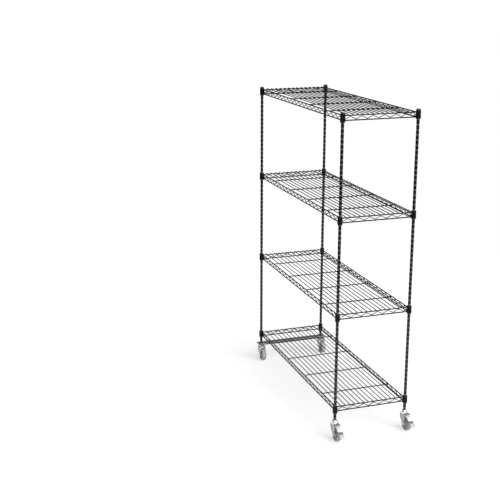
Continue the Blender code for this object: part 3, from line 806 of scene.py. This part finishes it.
def make_axle(corner):
    """A hex bolt with its washer and thread, and a lock nut with its crown."""
    centre = middle(f"{corner}_tyre")
    outer = FORK_HALF_WIDTH
    bm = bmesh.new()
    hexagon(bm, BOLT_ACROSS, -(outer + 0.0047), -(outer + 0.0009), 0.0009)
    near, far = -(outer + 0.0001), -(outer + 0.0009)
    washer = lathe(bm, [(0.0038, near), (0.0066, near), (0.0066, far), (0.0038, far)], 32)
    turn_to_x(bm, washer)
    shaft = [(0, -(outer + 0.001)), (BOLT_RADIUS, -(outer + 0.001)), (BOLT_RADIUS, outer)]
    height = outer
    while height < outer + 0.0045:
        shaft += [(BOLT_RADIUS, height + 0.0001), (THREAD_ROOT, height + 0.0004)]
        shaft += [(THREAD_ROOT, height + 0.0005)]
        height += THREAD_PITCH
    shaft += [(0.0033, height + 0.0002), (0, height + 0.0002)]
    turn_to_x(bm, lathe(bm, shaft, 24, closed=False))
    bolt = new_piece(f"{corner}_axle_bolt_hex", bm, MATERIALS["race"], centre, 30)
    stand_for(bolt, f"{corner}_axle_bolt")
    bm = bmesh.new()
    hexagon(bm, NUT_ACROSS, outer + 0.0005, outer + 0.0038, 0.0008, NUT_BORE)
    crown = [(4.2, 21.6), (5.3, 21.6), (5.1, 22.3), (4.7, 22.6), (4.2, 22.6)]
    turn_to_x(bm, lathe(bm, millimetres(crown), 32))
    nut = new_piece(f"{corner}_axle_nut_hex", bm, MATERIALS["race"], centre, 30)
    stand_for(nut, f"{corner}_axle_nut")


def pedal_path():
    """The middle line of the pedal's sheet from its hook to its toe lip, as (y, z) from the pin."""
    hook = []
    for degrees in range(-20, 105, 14):
        angle = math.radians(degrees)
        hook.append(Vector((PEDAL_HOOK_RADIUS * math.cos(angle), PEDAL_HOOK_RADIUS * math.sin(angle))))
    return hook + rounded([hook[-1], *PEDAL_KNEES, PEDAL_TREAD_END, PEDAL_LIP_END], 0.005, 5)[1:]


def pedal_half_width(y, z):
    """Half the sheet's width: drawn in along the arm, full at the plate, rounded at the toe."""
    if y > PEDAL_WIDTHS[0][0]:
        return PEDAL_WIDTHS[0][1]
    for (start, first), (end, second) in zip(PEDAL_WIDTHS, PEDAL_WIDTHS[1:]):
        if y > end:
            return first + (second - first) * (start - y) / (start - end)
    to_tip = (PEDAL_TIP_ROUND_START - y) / (PEDAL_TIP_ROUND_START - PEDAL_TREAD_END[0])
    down_lip = (-0.0330 - z) / 0.006
    drawn_in = 0.0022 * min(1, max(0, to_tip)) ** 2 + 0.0016 * min(1, max(0, down_lip)) ** 2
    return PEDAL_WIDTHS[-1][1] - drawn_in


def resample(path, step):
    """The same line with points at least every step."""
    out = [path[0]]
    for before, after in zip(path, path[1:]):
        count = max(1, math.ceil((after - before).length / step))
        out += [before.lerp(after, index / count) for index in range(1, count + 1)]
    return out


def make_pedal(corner):
    """The pedal's bent sheet in three finishes, with raised ribs on its tread and a dark strip on its riser,
    whose darkness is painted shade.
    """
    node = f"{corner}_brake_pedal"
    axis = middle(f"{corner}_caster_stem")
    pin = Vector((axis.x, axis.y - PEDAL_PIN_TRAIL, PEDAL_PIN_HEIGHT))
    path = resample(pedal_path(), 0.0022)
    arm = [spot for spot in path if spot.x > PEDAL_ARM_END]
    plate = [spot for spot in path if PEDAL_PLATE_END < spot.x < PEDAL_PLATE_START]
    toe = [spot for spot in path if spot.x < PEDAL_TOE_START]
    stand_for(pedal_sheet(f"{node}_arm", pin, arm, MATERIALS["lever"]), node)
    ride_along(pedal_sheet(f"{node}_plate", pin, plate, MATERIALS["pedal"]), node)
    ride_along(pedal_sheet(f"{node}_toe", pin, toe, MATERIALS["lever"]), node)
    (tread_y, tread_z), (end_y, end_z) = PEDAL_KNEES[-1], PEDAL_TREAD_END
    bm = bmesh.new()
    for rib in range(TREAD_RIB_COUNT):
        y = TREAD_RIB_START - rib * TREAD_RIB_PITCH
        z = tread_z + (end_z - tread_z) * (tread_y - y) / (tread_y - end_y)
        half = pedal_half_width(y, z) - TREAD_RIB_MARGIN
        sweep(bm, [(-half, y, z + TREAD_RIB_LIFT), (half, y, z + TREAD_RIB_LIFT)], TREAD_RIB_RADIUS, 8)
    ride_along(new_piece(f"{node}_grip", bm, MATERIALS["lever"], pin), node)
    make_riser_strip(node, pin)


def pedal_sheet(name, pin, path, material):
    """One part of the pedal's bent sheet, with its edges turned down along the arm."""
    flat_share, columns = 0.72, 9
    bm = bmesh.new()
    rows = []
    for index, spot in enumerate(path):
        along = (path[min(index + 1, len(path) - 1)] - path[max(index - 1, 0)]).normalized()
        half = pedal_half_width(spot.x, spot.y)
        flange = FLANGE_DEPTH if FLANGE_END < spot.x < FLANGE_START else 0.0
        row = []
        for column in range(columns):
            share = 2 * column / (columns - 1) - 1
            drop = flange * max(0, (abs(share) - flat_share) / (1 - flat_share)) ** 1.5
            row.append(bm.verts.new((half * share, spot.x, spot.y - drop * abs(along.x))))
        rows.append(row)
    sheet(bm, rows)
    obj = new_piece(name, bm, material, pin, 60)
    add_modifiers(obj, solidify=PEDAL_SHEET, bevel=0.0004)
    return obj


def make_riser_strip(node, pin):
    """The ribbed strip on the steep part of the pedal, between its arm and its toe, dark as painted shade on
    the riser.
    """
    top, foot = Vector(STRIP_TOP), Vector(STRIP_FOOT)
    along = (foot - top).normalized()
    out = Vector((along.y, -along.x))
    outline = [top + out * 0.0012]
    for rib in range(STRIP_RIBS):
        start = top.lerp(foot, rib / STRIP_RIBS)
        for share, rise in ((0.15, 0.0018), (0.35, 0.0024), (0.65, 0.0024), (0.85, 0.0018)):
            outline.append(start + (foot - top) / STRIP_RIBS * share + out * rise)
    outline += [foot + out * 0.0012, foot + out * 0.0004, top + out * 0.0004]
    bm = bmesh.new()
    rings = []
    for x, inset in ((-0.0125, 0.0003), (-0.0121, 0), (0.0121, 0), (0.0125, 0.0003)):
        rings.append([bm.verts.new((x, *(spot - out * inset))) for spot in outline])
    loft(bm, rings)
    ride_along(new_piece(f"{node}_strip", bm, MATERIALS["grip"], pin), node)


def make_pedal_pin(corner):
    """The rivet that the pedal turns on."""
    node = f"{corner}_pedal_pin"
    bm = bmesh.new()
    half, under_head = 19.0, 18.1
    rivet = [(0, -half), (1.6, -half), (3.3, -half + 0.35), (3.3, -under_head), (2.15, -under_head)]
    rivet += [(radius, -height) for radius, height in reversed(rivet)]
    lathe(bm, millimetres(rivet), 24, closed=False)
    turn_to_x(bm)
    stand_for(new_piece(f"{node}_rivet", bm, MATERIALS["zinc"], middle(node)), node)


def make_casters():
    for corner in CORNERS:
        make_stem(corner)
        make_fork(corner)
        make_balls(corner)
        make_wheel(corner)
        make_axle(corner)
        if corner in FRONT_CORNERS:
            make_pedal(corner)
            make_pedal_pin(corner)


# ---------------------------------------------------------------- stage, light and camera


def make_floor():
    bm = bmesh.new()
    bmesh.ops.create_circle(bm, cap_ends=True, segments=96, radius=FLOOR_RADIUS)
    surface = Surface("pale_floor", (FLOOR_GREY,) * 3, 0.75)
    surface.mottle((0.36, 0.36, 0.362), 3).relief(60, 0.0002)
    surface.set("Emission Color", (1, 1, 1, 1))
    surface.set("Emission Strength", FLOOR_GLOW)
    floor = new_piece("floor", bm, surface.material)


def make_world():
    """White behind the object. As light it is a dome, brighter above the horizon than below it."""
    world = bpy.data.worlds.new("studio")
    bpy.context.scene.world = world
    world.use_nodes = True
    tree = world.node_tree
    seen = tree.nodes["Background"]
    seen.inputs["Color"].default_value = (1, 1, 1, 1)
    seen.inputs["Strength"].default_value = SEEN_WHITE
    dome = tree.nodes.new("ShaderNodeBackground")
    dome.inputs["Color"].default_value = (1, 1, 1, 1)
    direction = tree.nodes.new("ShaderNodeTexCoord")
    parts = tree.nodes.new("ShaderNodeSeparateXYZ")
    ramp = tree.nodes.new("ShaderNodeMapRange")
    limits = {"From Min": DOME_FADE_FROM, "From Max": DOME_FADE_TO}
    limits.update({"To Min": DOME_BELOW, "To Max": DOME_ABOVE})
    for key, value in limits.items():
        ramp.inputs[key].default_value = value
    mix = tree.nodes.new("ShaderNodeMixShader")
    rays = tree.nodes.new("ShaderNodeLightPath")
    tree.links.new(direction.outputs["Generated"], parts.inputs["Vector"])
    tree.links.new(parts.outputs["Z"], ramp.inputs["Value"])
    tree.links.new(ramp.outputs["Result"], dome.inputs["Strength"])
    tree.links.new(rays.outputs["Is Camera Ray"], mix.inputs["Fac"])
    tree.links.new(dome.outputs["Background"], mix.inputs[1])
    tree.links.new(seen.outputs["Background"], mix.inputs[2])
    tree.links.new(mix.outputs["Shader"], tree.nodes["World Output"].inputs["Surface"])


def make_key_light():
    """A wide soft light from the front right."""
    data = bpy.data.lights.new("key", "SUN")
    data.energy, data.angle = KEY_STRENGTH, math.radians(KEY_SPREAD)
    lamp = bpy.data.objects.new("key", data)
    bpy.context.scene.collection.objects.link(lamp)
    lamp.location = KEY_FROM
    lamp.rotation_euler = (-Vector(KEY_FROM)).to_track_quat("-Z", "Y").to_euler()


def make_camera():
    data = bpy.data.cameras.new("camera")
    data.lens, data.sensor_width = LENS, 36
    data.clip_start, data.clip_end = 0.1, 200
    camera = bpy.data.objects.new("camera", data)
    bpy.context.scene.collection.objects.link(camera)
    camera.location = CAMERA_PLACE
    camera.rotation_euler = (math.radians(90 - CAMERA_DROP), 0, math.radians(-CAMERA_TURN))
    bpy.context.scene.camera = camera


bpy.context.scene.view_settings.view_transform = "Standard"
make_camera()
make_floor()
make_world()
make_key_light()
make_posts()
make_caps()
make_shelves()
make_sleeves()
make_channel()
make_casters()
